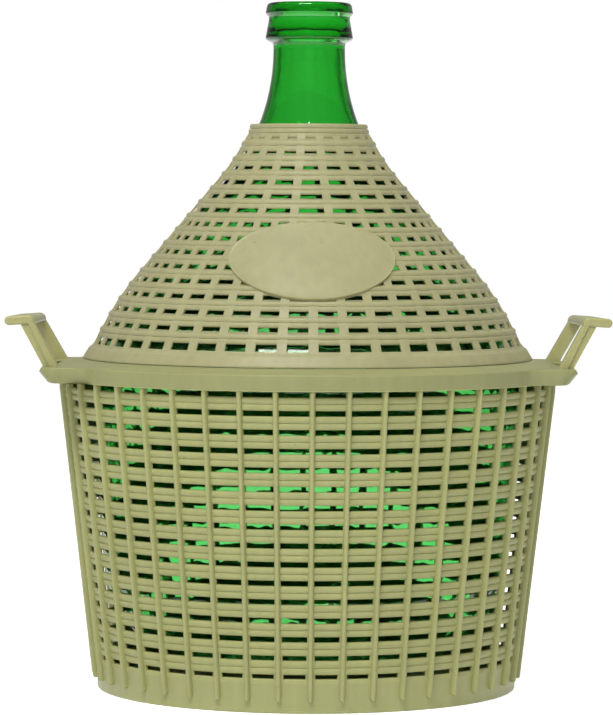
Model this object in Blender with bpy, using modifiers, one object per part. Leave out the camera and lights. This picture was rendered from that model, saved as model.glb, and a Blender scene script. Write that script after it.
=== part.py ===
"""Plastic-covered demijohn, built from its separate pieces.

A green glass vessel stands in a slotted plastic basket. A slotted conical cover sits over the
vessel's shoulder on the basket's rim, and two handles are pushed into the rim's ears.
Metres, +Z up. The origin is the middle of the basket's foot, and the oval plate faces -Y.
"""
import math

import bmesh
import bpy
from mathutils import Matrix, Vector

for leftover in list(bpy.data.objects):
    bpy.data.objects.remove(leftover)

# Sizes shared by all pieces
columns = 44
vessel_sides = 28
arc_step = math.radians(15)
seat_gap = 0.0003
overrun = 0.004
weld_distance = 0.00001

# Glass vessel: heights run down from its mouth, radii out from its axis
vessel_height = 0.435
glass_wall = 0.003
neck_radius = 0.0235
neck_length = 0.0798
cone_height = 0.1153
cone_foot_radius = 0.1211
shoulder_height = 0.0409
shoulder_radius = 0.1426
body_foot_radius = 0.1278
neck_fillet = 0.1337
cone_fillet = 0.193
shoulder_fillet = 0.055
base_fillet = 0.070
punt_radius = 0.045
punt_height = 0.012

# Lip of the vessel: an upper band, a groove and a lower ring that widens downwards
lip_proud = 0.0052
lip_height = 0.0085
lip_chamfer = 0.0025
groove_proud = 0.0032
groove_height = 0.0017
ring_top_proud = 0.0037
ring_proud = 0.0053
ring_height = 0.0133
ring_chamfer = 0.0020

# Basket: a leaning wall with a floor that rises to a round seat for the vessel
basket_wall = 0.003
basket_top_gap = 0.0167
basket_foot_gap = 0.0069
seat_height = 0.0147
seat_proud = 0.006
seat_slope_width = 0.008
drain_radius = 0.020

# Slots, ribs and grooves: a groove parts two raised bands and holds the slots
basket_slot_rows = 6
slot_height = 0.0032
slot_bar = 0.0068
band_groove_half_width = 0.0026
band_groove_depth = 0.0012
basket_first_row = 0.0238
basket_last_row_drop = 0.0138
rib_width = 0.0030
rib_proud = 0.0029
rib_foot = 0.0076
rib_root = 0.0015

# Rim of the basket: a sloping ledge with a skirt, and an ear at each side
rim_over_shoulder = 0.0025
rim_clearance = 0.0004
rim_plate = 0.003
ledge_drop = 0.0032
ledge_seat_margin = 0.0012
skirt_height = 0.0103
skirt_past_ribs = 0.0008
ear_half_width = 0.080
ear_reach = 0.0077
ear_top_drop = 0.0004
ear_foot_rise = 0.0004
ear_tip_drop = 0.0028
ear_top_setback = 0.0012
ear_foot_setback = 0.0064
ear_wall = 0.0025
ear_corner = 0.010
ear_flare = 0.031
window_length = 0.038
window_width = 0.006
window_inset = 0.004
window_depth = 0.0073

# Cover: a cone that follows the vessel's shoulder at an even distance
cover_wall = 0.0025
cover_gap = 0.0021
collar_depth = 0.0795
cover_foot_width = 0.0048
foot_band_height = 0.0068
foot_step_height = 0.0019
foot_step_width = 0.0037
cover_turn = math.radians(1.5)
cover_slot_rows = 7
cover_wide_rows = 2
cover_slot_bar = 0.0075
cover_first_row = 0.0345
cover_last_row_rise = 0.0030

# Oval plate on the front of the cover
plate_width = 0.1050
plate_height = 0.0620
plate_proud = 0.0018
plate_backing = 0.0005
plate_rise = 0.0687
plate_sides = 40

# Handles
grip_length = 0.132
grip_width = 0.0210
grip_thickness = 0.0058
grip_round = 0.0026
grip_height = 0.0322
grip_droop = math.radians(4)
leg_lean = math.radians(28.3)
leg_depth = 0.0083
leg_width = 0.012
leg_round = 0.0012
leg_end_inset = 0.002
leg_insert = 0.0073
leg_edge_margin = 0.0023
grip_forward = 0.0046

# Heights and radii that follow from the sizes above
vessel_base_z = seat_height + seat_gap
mouth_z = vessel_base_z + vessel_height
neck_foot_z = mouth_z - neck_length
cone_foot_z = neck_foot_z - cone_height
shoulder_z = cone_foot_z - shoulder_height
rim_z = shoulder_z + rim_over_shoulder
rim_edge_z = rim_z - ledge_drop
skirt_foot_z = rim_edge_z - skirt_height
wall_top_z = rim_edge_z - rim_plate / 2
wall_top_radius = shoulder_radius + basket_top_gap + basket_wall
wall_foot_radius = body_foot_radius + basket_foot_gap + basket_wall
skirt_wall_share = skirt_foot_z / wall_top_z
skirt_wall_radius = wall_foot_radius + (wall_top_radius - wall_foot_radius) * skirt_wall_share
rim_radius = skirt_wall_radius + rib_proud + skirt_past_ribs
rim_inner_radius = shoulder_radius + rim_clearance
skirt_inner_radius = wall_top_radius - basket_wall
cover_foot_z = rim_z + seat_gap
cover_foot_radius = rim_inner_radius + cover_foot_width
collar_z = mouth_z - collar_depth
band_top_z = cover_foot_z + foot_band_height + foot_step_height
ear_tip_x = rim_radius + ear_reach


def rounded(corners):
    """Points of an outline whose corners (radius, height, fillet) are rounded by arcs."""
    places = [Vector(corner[:2]) for corner in corners]
    points = [places[0]]
    for before, corner, after, (_, _, fillet) in zip(places, places[1:], places[2:], corners[1:]):
        arriving = (corner - before).normalized()
        leaving = (after - corner).normalized()
        turn = arriving.angle_signed(leaving)
        if fillet == 0 or turn == 0:
            points.append(corner)
            continue
        reach = fillet * math.tan(abs(turn) / 2)
        side = Vector((-arriving.y, arriving.x)) * math.copysign(fillet, -turn)
        start = corner - arriving * reach
        steps = max(1, math.ceil(abs(turn) / arc_step))
        for step in range(steps + 1):
            spoke = Matrix.Rotation(-turn * step / steps, 2) @ -side
            points.append(start + side + spoke)
    points.append(places[-1])
    return points


def moved_out(corners, distance):
    """The same outline moved outwards by a distance, with its fillets to match."""
    places = [Vector(corner[:2]) for corner in corners]
    edges = [(after - before).normalized() for before, after in zip(places, places[1:])]
    normals = [Vector((-edge.y, edge.x)) for edge in edges]
    result = []
    for index, (_, _, fillet) in enumerate(corners):
        first = normals[max(index - 1, 0)]
        second = normals[min(index, len(normals) - 1)]
        place = places[index] + (first + second) * distance / (1 + first.dot(second))
        bulging = first.angle_signed(second) > 0
        change = distance if bulging else -distance
        result.append((place.x, place.y, fillet + change if fillet else 0))
    return result


def between_heights(points, top, foot):
    """The stretch of a falling outline between two heights, with its ends on them."""
    def at(height):
        for upper, lower in zip(points, points[1:]):
            if upper.y >= height >= lower.y and upper.y > lower.y:
                return upper.lerp(lower, (upper.y - height) / (upper.y - lower.y))
        return points[-1]
    return [at(top)] + [point for point in points if foot < point.y < top] + [at(foot)]


def place_on(line, distance):
    """Radius, height and lean of an outline at a distance down it from its top."""
    for upper, lower in zip(line, line[1:]):
        step = (lower - upper).length
        if distance <= step or lower is line[-1]:
            place = upper.lerp(lower, distance / step)
            return place.x, place.y, math.atan2(upper.x - lower.x, upper.y - lower.y)
        distance -= step


def grooved(line, rows):
    """A falling outline with a shallow groove pressed in at each distance down it."""
    marks = []
    length = 0
    for upper, point in zip([line[0]] + line, line):
        length += (point - upper).length
        if all(abs(length - row) > band_groove_half_width for row in rows):
            marks.append((length, point))
    for row in rows:
        for side, depth in ((-1, 0), (0, band_groove_depth), (1, 0)):
            distance = row + side * band_groove_half_width
            radius, height, lean = place_on(line, distance)
            inwards = Vector((-math.cos(lean), math.sin(lean))) * depth
            marks.append((distance, Vector((radius, height)) + inwards))
    return [point for _, point in sorted(marks, key=lambda mark: mark[0])]


def material(name, colour, roughness, transmission=0.0):
    made = bpy.data.materials.new(name)
    made.use_nodes = True
    shader = made.node_tree.nodes["Principled BSDF"]
    shader.inputs["Base Color"].default_value = (*colour, 1.0)
    shader.inputs["Roughness"].default_value = roughness
    shader.inputs["Metallic"].default_value = 0.0
    shader.inputs["Transmission Weight"].default_value = transmission
    made.diffuse_color = (*colour, 1.0)
    return made


demijohn = bpy.data.collections.new("plastic_covered_demijohn")
tools = bpy.data.collections.new("cutters_and_guides")
bpy.context.scene.collection.children.link(demijohn)
bpy.context.scene.collection.children.link(tools)


def add(name, mesh, is_tool=True):
    """An object for the mesh, as a hidden tool or as a piece of the demijohn."""
    made = bpy.data.objects.new(name, mesh)
    if is_tool:
        tools.objects.link(made)
        made.hide_render = True
        made.display_type = "WIRE"
    else:
        demijohn.objects.link(made)
    return made


def turned(name, outline, closed=False, is_tool=True, sides=columns):
    """A piece turned about the Z axis from an outline that runs down its outer side."""
    count = len(outline)
    edges = [(index, index + 1) for index in range(count - 1)]
    if closed:
        edges.append((count - 1, 0))
    mesh = bpy.data.meshes.new(name)
    mesh.from_pydata([(point[0], 0, point[1]) for point in outline], edges, [])
    piece = add(name, mesh, is_tool)
    screw = piece.modifiers.new("turn", "SCREW")
    screw.axis = "Z"
    screw.angle = 2 * math.pi
    screw.steps = sides
    screw.render_steps = sides
    screw.use_merge_vertices = True
    screw.merge_threshold = weld_distance
    screw.use_smooth_shade = True
    return piece


def combine(piece, tool, operation):
    boolean = piece.modifiers.new(tool.name, "BOOLEAN")
    boolean.object = tool
    boolean.operation = operation
    boolean.solver = "EXACT"


def bars(name, places, rounding=0.0, is_tool=True):
    """One mesh of boxes, each a unit cube set by a matrix, with their long edges rounded."""
    shape = bmesh.new()
    for place in places:
        cube = bmesh.ops.create_cube(shape, size=1, matrix=place)
        if rounding:
            edges = {edge for corner in cube["verts"] for edge in corner.link_edges}
            long_edges = sorted(edges, key=lambda edge: edge.calc_length())[-4:]
            bmesh.ops.bevel(shape, geom=long_edges, offset=rounding, segments=2,
                            profile=0.5, affect="EDGES")
    mesh = bpy.data.meshes.new(name)
    shape.to_mesh(mesh)
    shape.free()
    return add(name, mesh, is_tool)


def extruded(name, outline, half_depth, upright=True, height=0.0):
    """A flat outline drawn out to both sides: in X and Z along Y, or in X and Y about a height."""
    curve = bpy.data.curves.new(name, "CURVE")
    curve.dimensions = "2D"
    curve.fill_mode = "BOTH"
    curve.extrude = half_depth
    spline = curve.splines.new("POLY")
    spline.points.add(len(outline) - 1)
    for point, (across, along) in zip(spline.points, outline):
        point.co = (across, along, 0, 1)
    spline.use_cyclic_u = True
    guide = bpy.data.objects.new(name, curve)
    guide.rotation_euler = (math.pi / 2 if upright else 0, 0, 0)
    guide.location.z = height
    tools.objects.link(guide)
    bpy.context.view_layer.update()
    placed = guide.matrix_world.copy()
    mesh = bpy.data.meshes.new_from_object(guide.evaluated_get(bpy.context.evaluated_depsgraph_get()))
    bpy.data.objects.remove(guide)
    welded = bmesh.new()
    welded.from_mesh(mesh)
    bmesh.ops.remove_doubles(welded, verts=welded.verts, dist=weld_distance)
    welded.to_mesh(mesh)
    welded.free()
    piece = add(name, mesh)
    piece.matrix_world = placed
    return piece


# Glass vessel: one turned outline, down the outside and up the inside

body_corners = [
    (neck_radius, mouth_z - lip_height - groove_height - ring_height - ring_chamfer, 0),
    (neck_radius, neck_foot_z, neck_fillet),
    (cone_foot_radius, cone_foot_z, cone_fillet),
    (shoulder_radius, shoulder_z, shoulder_fillet),
    (body_foot_radius, vessel_base_z, base_fillet),
    (punt_radius, vessel_base_z, 0),
]


def vessel_outline():
    bore_radius = neck_radius - glass_wall
    ring_top_z = mouth_z - lip_height - groove_height
    ring_foot_z = ring_top_z - ring_height
    lip = [
        (bore_radius, mouth_z),
        (neck_radius + lip_proud - lip_chamfer, mouth_z),
        (neck_radius + lip_proud, mouth_z - lip_chamfer),
        (neck_radius + lip_proud, mouth_z - lip_height + lip_chamfer),
        (neck_radius + groove_proud, mouth_z - lip_height),
        (neck_radius + groove_proud, ring_top_z),
        (neck_radius + ring_top_proud, ring_top_z),
        (neck_radius + ring_proud, ring_foot_z + ring_chamfer),
        (neck_radius + ring_proud - ring_chamfer, ring_foot_z),
    ]
    outside = lip + rounded(body_corners) + [(0, vessel_base_z + punt_height)]
    inner_corners = moved_out(body_corners, -glass_wall)[:-1]
    inside = rounded(inner_corners + [(punt_radius, vessel_base_z + glass_wall, 0)])
    inside.append((0, vessel_base_z + punt_height + glass_wall))
    return inside[::-1] + outside


glass_vessel = turned("glass_vessel", vessel_outline(), is_tool=False, sides=vessel_sides)
glass_vessel.data.materials.append(material("green_glass", (0.03, 0.34, 0.06), 0.05, 0.9))


# Basket: one turned outline for the rim's sloping ledge and skirt, the wall, the floor and the seat

def wall_radius(height):
    """Outer radius of the basket's wall at a height."""
    return wall_foot_radius + (wall_top_radius - wall_foot_radius) * height / wall_top_z


seat_radius = body_foot_radius - base_fillet + seat_proud
wall_lean = math.atan2(wall_top_radius - wall_foot_radius, wall_top_z)
basket_last_row = skirt_foot_z - basket_last_row_drop
basket_pitch = (basket_last_row - basket_first_row) / (basket_slot_rows - 1)
basket_rows = [basket_first_row + basket_pitch * row for row in range(basket_slot_rows)]
ledge_foot_z = rim_edge_z - rim_plate
wall_inner_radius = wall_radius(ledge_foot_z) - basket_wall / math.cos(wall_lean)
rim_outside = [
    (rim_inner_radius, rim_z),
    (cover_foot_radius + ledge_seat_margin, rim_z),
    (rim_radius, rim_edge_z),
    (rim_radius, skirt_foot_z),
]
rim_inside = [(wall_inner_radius, ledge_foot_z), (rim_inner_radius, rim_z - rim_plate)]
wall_corners = [
    (skirt_wall_radius, skirt_foot_z, 0),
    (wall_foot_radius, 0, 0),
    (seat_radius + seat_slope_width, 0, 0),
    (seat_radius, seat_height - basket_wall, 0),
    (drain_radius, seat_height - basket_wall, 0),
]
wall_outside = grooved(rounded(wall_corners),
                       [(skirt_foot_z - height) / math.cos(wall_lean) for height in basket_rows])
wall_inside = rounded(moved_out(wall_corners, -basket_wall))[:0:-1]
basket = turned("basket", rim_outside + wall_outside + wall_inside + rim_inside,
                closed=True, is_tool=False)


def on_wall(angle, radius, height, lean, size):
    """A box of a size (depth, width, height) centred on a leaning wall at an angle."""
    turn = Matrix.Rotation(angle, 4, "Z")
    shift = Matrix.Translation((radius, 0, height))
    tilt = Matrix.Rotation(lean, 4, "Y")
    return turn @ shift @ tilt @ Matrix.Diagonal((*size, 1))


def basket_slots():
    """A slot in the middle of every flat side, in rows from the foot to the skirt."""
    places = []
    for height in basket_rows:
        flat_radius = wall_radius(height) * math.cos(math.pi / columns)
        width = 2 * flat_radius * math.tan(math.pi / columns) - slot_bar
        size = (basket_wall * 2 + overrun, width, slot_height)
        for column in range(columns):
            angle = 2 * math.pi * (column + 0.5) / columns
            places.append(on_wall(angle, flat_radius, height, wall_lean, size))
    return places


def basket_ribs():
    """A raised rib on every corner between two sides, from the foot band up into the skirt."""
    top = skirt_foot_z + rib_root
    middle = (top + rib_foot) / 2
    length = (top - rib_foot) / math.cos(wall_lean)
    size = (rib_proud + rib_root, rib_width, length)
    radius = wall_radius(middle) + (rib_proud - rib_root) / 2
    return [on_wall(2 * math.pi * column / columns, radius, middle, wall_lean, size)
            for column in range(columns)]


combine(basket, bars("basket_slot_cutter", basket_slots()), "DIFFERENCE")
combine(basket, bars("basket_rib_set", basket_ribs()), "UNION")

# Ears: flat-topped blocks, hollow below, with a slanted end and flanks that flare into the rim

trim_radius = (skirt_inner_radius + rim_radius) / 2
flare_reach = trim_radius + ear_flare
flare_half_width = ear_half_width + ear_flare
flare_x = math.sqrt(flare_reach ** 2 - flare_half_width ** 2)
root_share = trim_radius / flare_reach
flank_x = flare_x * root_share
flank_y = flare_half_width * root_share
flank_corner_x = (trim_radius ** 2 - ear_half_width * flank_y) / flank_x
ear_root_x = math.sqrt(skirt_inner_radius ** 2 - flank_y ** 2) - ear_wall
ear_top_z = rim_edge_z - ear_top_drop
ear_tip_z = rim_edge_z - ear_tip_drop
ear_foot_z = skirt_foot_z + ear_foot_rise
ear_foot_x = ear_tip_x - ear_foot_setback
ear_slant = ear_foot_setback / (ear_tip_z - ear_foot_z)
ear_block = extruded("ear_block", [
    (ear_root_x, ear_top_z),
    (ear_tip_x - ear_top_setback, ear_top_z),
    (ear_tip_x, ear_tip_z),
    (ear_foot_x, ear_foot_z),
    (ear_root_x, ear_foot_z),
], flare_half_width)
half_plan = [
    (ear_root_x - overrun, flank_y, 0),
    (flank_x, flank_y, 0),
    (flank_corner_x, ear_half_width, ear_flare),
    (ear_tip_x, ear_half_width, ear_corner),
    (ear_tip_x, 0, 0),
]
upper_half = rounded(half_plan)[:-1]
lower_half = [(point[0], -point[1]) for point in upper_half]
ear_plan = extruded("ear_plan", upper_half[::-1] + lower_half, skirt_height,
                    upright=False, height=ear_top_z)
ear_pocket = extruded("ear_pocket", [
    (ear_root_x - overrun, ear_top_z - rim_plate),
    (ear_tip_x - ear_wall - ear_top_setback, ear_top_z - rim_plate),
    (ear_foot_x - ear_wall - ear_slant * overrun, ear_foot_z - overrun),
    (ear_root_x - overrun, ear_foot_z - overrun),
], ear_half_width - ear_wall)
ear_trim = turned("ear_trim", [
    (0, rim_z + overrun),
    (trim_radius, rim_z + overrun),
    (trim_radius, skirt_foot_z - overrun),
    (0, skirt_foot_z - overrun),
])
combine(ear_block, ear_plan, "INTERSECT")
combine(ear_block, ear_pocket, "DIFFERENCE")
combine(ear_block, ear_trim, "DIFFERENCE")
opposite = ear_block.modifiers.new("opposite_ear", "MIRROR")
opposite.use_mirror_merge = False
combine(basket, ear_block, "UNION")

# Handles: a flat grip on two leaning legs, whose feet stand in sockets in the ear

leg_centre_y = grip_length / 2 - leg_end_inset - leg_width / 2
leg_half_x = leg_depth / math.cos(leg_lean) / 2
leg_x = ear_tip_x - ear_top_setback - leg_edge_margin - leg_half_x
grip_z = rim_edge_z + grip_height - grip_thickness / 2
grip_x = leg_x + (grip_z - rim_edge_z) * math.tan(leg_lean) + grip_forward
leg_foot_z = rim_edge_z - leg_insert


def legs(clearance, top_z):
    """Matrices of the two legs, grown by a clearance, from their feet to a height."""
    foot_z = leg_foot_z - clearance
    middle = (top_z + foot_z) / 2
    size = (leg_depth + 2 * clearance, leg_width + 2 * clearance,
            (top_z - foot_z) / math.cos(leg_lean))
    x = leg_x + (middle - rim_edge_z) * math.tan(leg_lean)
    tilt = Matrix.Rotation(leg_lean, 4, "Y")
    return [Matrix.Translation((x, side * leg_centre_y, middle)) @ tilt
            @ Matrix.Diagonal((*size, 1)) for side in (-1, 1)]


def handle(name, half_turn):
    grip = (Matrix.Translation((grip_x, 0, grip_z)) @ Matrix.Rotation(grip_droop, 4, "Y")
            @ Matrix.Diagonal((grip_width, grip_length, grip_thickness, 1)))
    piece = bars(name, [grip], grip_round, is_tool=False)
    leg_pair = bars(name + "_legs", legs(0, grip_z), leg_round)
    for part in (piece, leg_pair):
        part.rotation_euler = (0, 0, half_turn)
    combine(piece, leg_pair, "UNION")
    return piece


plastic_handle = material("handle_polyethylene", (0.52, 0.49, 0.24), 0.35)
handle_right = handle("handle_right", 0)
handle_left = handle("handle_left", math.pi)
handle_right.data.materials.append(plastic_handle)
handle_left.data.materials.append(plastic_handle)

# Sockets for the legs and the window between them, cut through both ears

window_x = rim_radius - window_inset + window_width / 2
window_z = rim_edge_z - window_depth / 2 + overrun / 2
window = (Matrix.Translation((window_x, 0, window_z))
          @ Matrix.Diagonal((window_width, window_length, window_depth + overrun, 1)))
ear_cuts = legs(seat_gap, rim_z + overrun) + [window]
both_sides = [Matrix.Rotation(turn, 4, "Z") @ cut for turn in (0, math.pi) for cut in ear_cuts]
combine(basket, bars("ear_cutter", both_sides), "DIFFERENCE")
basket.data.materials.append(material("basket_polyethylene", (0.42, 0.38, 0.22), 0.42))

# Cover: the vessel's outline moved out, with a plain band and step at its foot

def skin(near, far, foot):
    """The lines of a skin between two distances from the vessel: outer one down, inner one up."""
    outer = between_heights(rounded(moved_out(body_corners, far)), collar_z, foot)
    inner = between_heights(rounded(moved_out(body_corners, near)), collar_z, foot)
    return outer, inner[::-1]


cone_line, cone_inner_line = skin(cover_gap, cover_gap + cover_wall, band_top_z)
foot_line = [
    (cover_foot_radius - foot_step_width, band_top_z - foot_step_height),
    (cover_foot_radius, cover_foot_z),
    (cover_foot_radius - cover_wall, cover_foot_z),
    (cover_foot_radius - cover_wall - foot_step_width, band_top_z - foot_step_height),
]
cone_length = sum((lower - upper).length for upper, lower in zip(cone_line, cone_line[1:]))
cover_last_row = cone_length - cover_last_row_rise
cover_pitch = (cover_last_row - cover_first_row) / (cover_slot_rows - 1)
cover_rows = [cover_first_row + cover_pitch * row for row in range(cover_slot_rows)]
cover_outline = grooved(cone_line, cover_rows) + foot_line + cone_inner_line
cover = turned("cover", cover_outline, closed=True, is_tool=False)
side_angle = 2 * math.pi / columns


def cover_slots():
    """Rows of slots down the cone: one to two sides in the upper rows, one to each below."""
    places = []
    for row, distance in enumerate(cover_rows):
        span = 2 if row < cover_wide_rows else 1
        radius, height, lean = place_on(cone_line, distance)
        flat_radius = radius * math.cos(side_angle / 2)
        width = 2 * radius * math.sin(side_angle * span / 2) - cover_slot_bar
        depth = cover_wall * 2 + overrun + radius * (1 - math.cos(side_angle * span / 2))
        for column in range(0, columns, span):
            angle = side_angle * (column + span / 2)
            places.append(on_wall(angle, flat_radius, height, lean, (depth, width, slot_height)))
    return places


combine(cover, bars("cover_slot_cutter", cover_slots()), "DIFFERENCE")

# Oval plate: the part of a thicker skin that lies inside an oval post, joined to the cone

plate_lines = skin(cover_gap - plate_backing, cover_gap + cover_wall + plate_proud, band_top_z)
plate_skin = turned("oval_plate", plate_lines[0] + plate_lines[1], closed=True)
plate_radius, plate_z, plate_lean = place_on(cone_line, cone_length - plate_rise)
post = bmesh.new()
bmesh.ops.create_cone(post, cap_ends=True, segments=plate_sides, radius1=1 / 2, radius2=1 / 2,
                      depth=1, matrix=Matrix.Translation((plate_radius, 0, plate_z))
                      @ Matrix.Rotation(math.pi / 2 + plate_lean, 4, "Y")
                      @ Matrix.Diagonal((plate_height, plate_width, plate_width, 1)))
bmesh.ops.rotate(post, verts=post.verts, cent=(0, 0, 0),
                 matrix=Matrix.Rotation(-math.pi / 2, 3, "Z"))
post_mesh = bpy.data.meshes.new("oval_post")
post.to_mesh(post_mesh)
post.free()
combine(plate_skin, add("oval_post", post_mesh), "INTERSECT")
combine(cover, plate_skin, "UNION")
cover.data.materials.append(material("cover_polyethylene", (0.44, 0.39, 0.26), 0.42))

# The cover and its tools are turned a little on the vessel, as it stands

turned_pieces = [cover] + [modifier.object for modifier in cover.modifiers
                           if modifier.type == "BOOLEAN"]
turned_pieces.append(bpy.data.objects["oval_post"])
for part in turned_pieces:
    part.rotation_euler = (0, 0, cover_turn)
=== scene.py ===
"""Looks of the plastic-covered demijohn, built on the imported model.

Metres, +Z up. The origin is the middle of the basket's foot, and the oval plate faces -Y.
"""
import math

import bmesh
import bpy
import numpy as np
from mathutils import Matrix, Vector


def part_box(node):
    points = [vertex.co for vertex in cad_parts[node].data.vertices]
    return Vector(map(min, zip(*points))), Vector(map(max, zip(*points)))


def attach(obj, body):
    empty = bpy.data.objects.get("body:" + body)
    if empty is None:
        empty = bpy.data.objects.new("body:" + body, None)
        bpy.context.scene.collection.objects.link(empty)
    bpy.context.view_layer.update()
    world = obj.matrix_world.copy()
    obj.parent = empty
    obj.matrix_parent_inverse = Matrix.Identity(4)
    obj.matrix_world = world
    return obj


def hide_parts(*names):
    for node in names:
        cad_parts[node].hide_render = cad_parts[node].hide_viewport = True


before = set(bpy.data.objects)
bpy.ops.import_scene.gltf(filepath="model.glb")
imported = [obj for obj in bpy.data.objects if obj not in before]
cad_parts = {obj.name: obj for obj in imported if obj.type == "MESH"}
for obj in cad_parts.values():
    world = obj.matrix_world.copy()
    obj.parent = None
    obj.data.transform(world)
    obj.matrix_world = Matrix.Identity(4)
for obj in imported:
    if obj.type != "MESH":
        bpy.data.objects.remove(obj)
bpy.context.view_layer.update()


# Glass vessel
# One vessel of bright green soda-lime bottle glass, blown into a mould, with a tooled ring lip.
# The neck's wall is thick and the blown body's is thinner. It stands loose on the basket's seat.

vessel_base_z = float(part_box("glass_vessel")[0][2])
mouth_z = float(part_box("glass_vessel")[1][2])
neck_radius = 0.0235
neck_height = 0.0798
neck_foot_z = mouth_z - neck_height
neck_sweep = 0.1337
cone_foot_radius = 0.1211
cone_height = 0.1153
cone_foot_z = neck_foot_z - cone_height
cone_foot_round = 0.193
shoulder_radius = 0.1426
shoulder_drop = 0.0409
shoulder_z = cone_foot_z - shoulder_drop
shoulder_round = 0.055
heel_radius = 0.1278
heel_round = 0.070
punt_radius = 0.045
punt_round = 0.008
punt_height = 0.012
lip_height = 0.0290
lip_bore_radius = 0.0236
lip_bore_depth = 0.0180
lip_bore_round = 0.020
lip_bore_edge = 0.0009
neck_wall = 0.0030
body_wall = 0.00165
thinning_start = 0.060
thinning_end = 0.170
glass_arc_step = math.radians(3)
vessel_sides = 192
weld_distance = 0.000001


def rounded_line(corners, arc_step):
    """Points of a line through corners (radius, height, fillet).

    Each fillet is an arc of that radius that touches the run before the corner and the run
    after it, with a point for each arc step; a fillet of zero keeps the corner sharp.
    """
    points = [np.array(corners[0][:2])]
    for before, corner, after in zip(corners, corners[1:], corners[2:]):
        place = np.array(corner[:2])
        arriving = place - before[:2]
        leaving = after[:2] - place
        arriving /= np.hypot(*arriving)
        leaving /= np.hypot(*leaving)
        cross = arriving[0] * leaving[1] - arriving[1] * leaving[0]
        turn = math.atan2(cross, np.dot(arriving, leaving))
        fillet = corner[2]
        side = np.array((-arriving[1], arriving[0])) * np.sign(turn)
        start = place - arriving * fillet * math.tan(abs(turn) / 2)
        count = math.ceil(abs(turn) / arc_step) + 1 if fillet else 1
        angle = np.linspace(0, turn, count)[:, None]
        spoke = -side * fillet
        turned_spoke = np.cos(angle) * spoke + np.sin(angle) * np.array((-spoke[1], spoke[0]))
        points.extend(start + side * fillet + turned_spoke)
    points.append(np.array(corners[-1][:2]))
    return np.array(points)


def line_length(line):
    """Distance of each of a line's points from its start, measured along it."""
    return np.concatenate(([0.0], np.cumsum(np.hypot(*np.diff(line, axis=0).T))))


def along(line, distance, lift=0.0):
    """Places at distances down a line, lifted square to it.

    The place runs straight between the line's points. The direction is each run's own at its
    middle and turns evenly between the middles, and the lift is to the left of it, outwards.
    """
    distance, lift = np.broadcast_arrays(distance, lift)
    length = line_length(line)
    middles = (length[1:] + length[:-1]) / 2
    runs = np.diff(line, axis=0) / np.diff(length)[:, None]
    place = np.stack([np.interp(distance, length, line[:, axis]) for axis in (0, 1)], axis=-1)
    run = np.stack([np.interp(distance, middles, runs[:, axis]) for axis in (0, 1)], axis=-1)
    run /= np.linalg.norm(run, axis=-1, keepdims=True)
    outwards = np.stack((-run[..., 1], run[..., 0]), axis=-1)
    return place + outwards * lift[..., None]


def turned(line, sides):
    """Grid of a line carried round the axis: x is radius cos a, y is radius sin a."""
    angle = np.arange(sides) * 2 * math.pi / sides
    radius = line[..., 0][..., None]
    height = line[..., 1][..., None]
    return np.stack((radius * np.cos(angle), radius * np.sin(angle), height + 0 * angle), axis=-1)


def grid_faces(rows, columns, ring):
    """Corner numbers of the faces of a grid that wraps round its columns, as arrays.

    A ring wraps round its rows too, and any other grid is closed by one face at each end.
    """
    row = np.arange(rows if ring else rows - 1)[:, None]
    column = np.arange(columns)[None, :]
    below = (row + 1) % rows
    beside = (column + 1) % columns
    corners = (row * columns + column, below * columns + column,
               below * columns + beside, row * columns + beside)
    sides = np.stack(np.broadcast_arrays(*corners), axis=-1).reshape(-1, 4)
    first_end = np.arange(columns)[None, :]
    last_end = rows * columns - 1 - first_end
    return [sides] if ring else [sides, first_end, last_end]


def solid(name, *grids):
    """A closed mesh from pairs (grid, ring); a grid's leading axes are copies of one shape."""
    points = []
    faces = []
    made = 0
    for grid, ring in grids:
        rows, columns = grid.shape[-3:-1]
        copies = grid.reshape(-1, rows * columns, 3)
        for start in made + rows * columns * np.arange(len(copies)):
            for corners in grid_faces(rows, columns, ring):
                faces.extend((start + corners).tolist())
        points.append(copies.reshape(-1, 3))
        made += copies.shape[0] * rows * columns
    mesh = bpy.data.meshes.new(name)
    mesh.from_pydata(np.concatenate(points).tolist(), [], faces)
    welded = bmesh.new()
    welded.from_mesh(mesh)
    bmesh.ops.remove_doubles(welded, verts=welded.verts, dist=weld_distance)
    bmesh.ops.recalc_face_normals(welded, faces=welded.faces)
    welded.to_mesh(mesh)
    welded.free()
    piece = bpy.data.objects.new(name, mesh)
    bpy.context.scene.collection.objects.link(piece)
    return piece


def finished(piece, material, body, crease=35):
    """Smooths a piece up to a crease angle in degrees, and gives it its material and body."""
    piece.data.shade_smooth()
    piece.data.set_sharp_from_angle(angle=math.radians(crease))
    piece.data.materials.clear()
    piece.data.materials.append(material)
    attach(piece, body)


def linear(colour):
    """A linear RGBA colour from an sRGB hex colour, by the sRGB curve."""
    share = np.array([int(colour[start:start + 2], 16) for start in (1, 3, 5)]) / 255
    curve = np.where(share <= 0.04045, share / 12.92, ((share + 0.055) / 1.055) ** 2.4)
    return (*curve.tolist(), 1.0)


def node(material, kind, inputs=None, **settings):
    """Adds a node with its settings; an input takes a value or another node's output."""
    tree = material.node_tree
    made = tree.nodes.new(kind)
    for name, value in settings.items():
        setattr(made, name, value)
    for name, value in (inputs or {}).items():
        if isinstance(value, bpy.types.NodeSocket):
            tree.links.new(value, made.inputs[name])
        else:
            made.inputs[name].default_value = value
    return made


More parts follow.
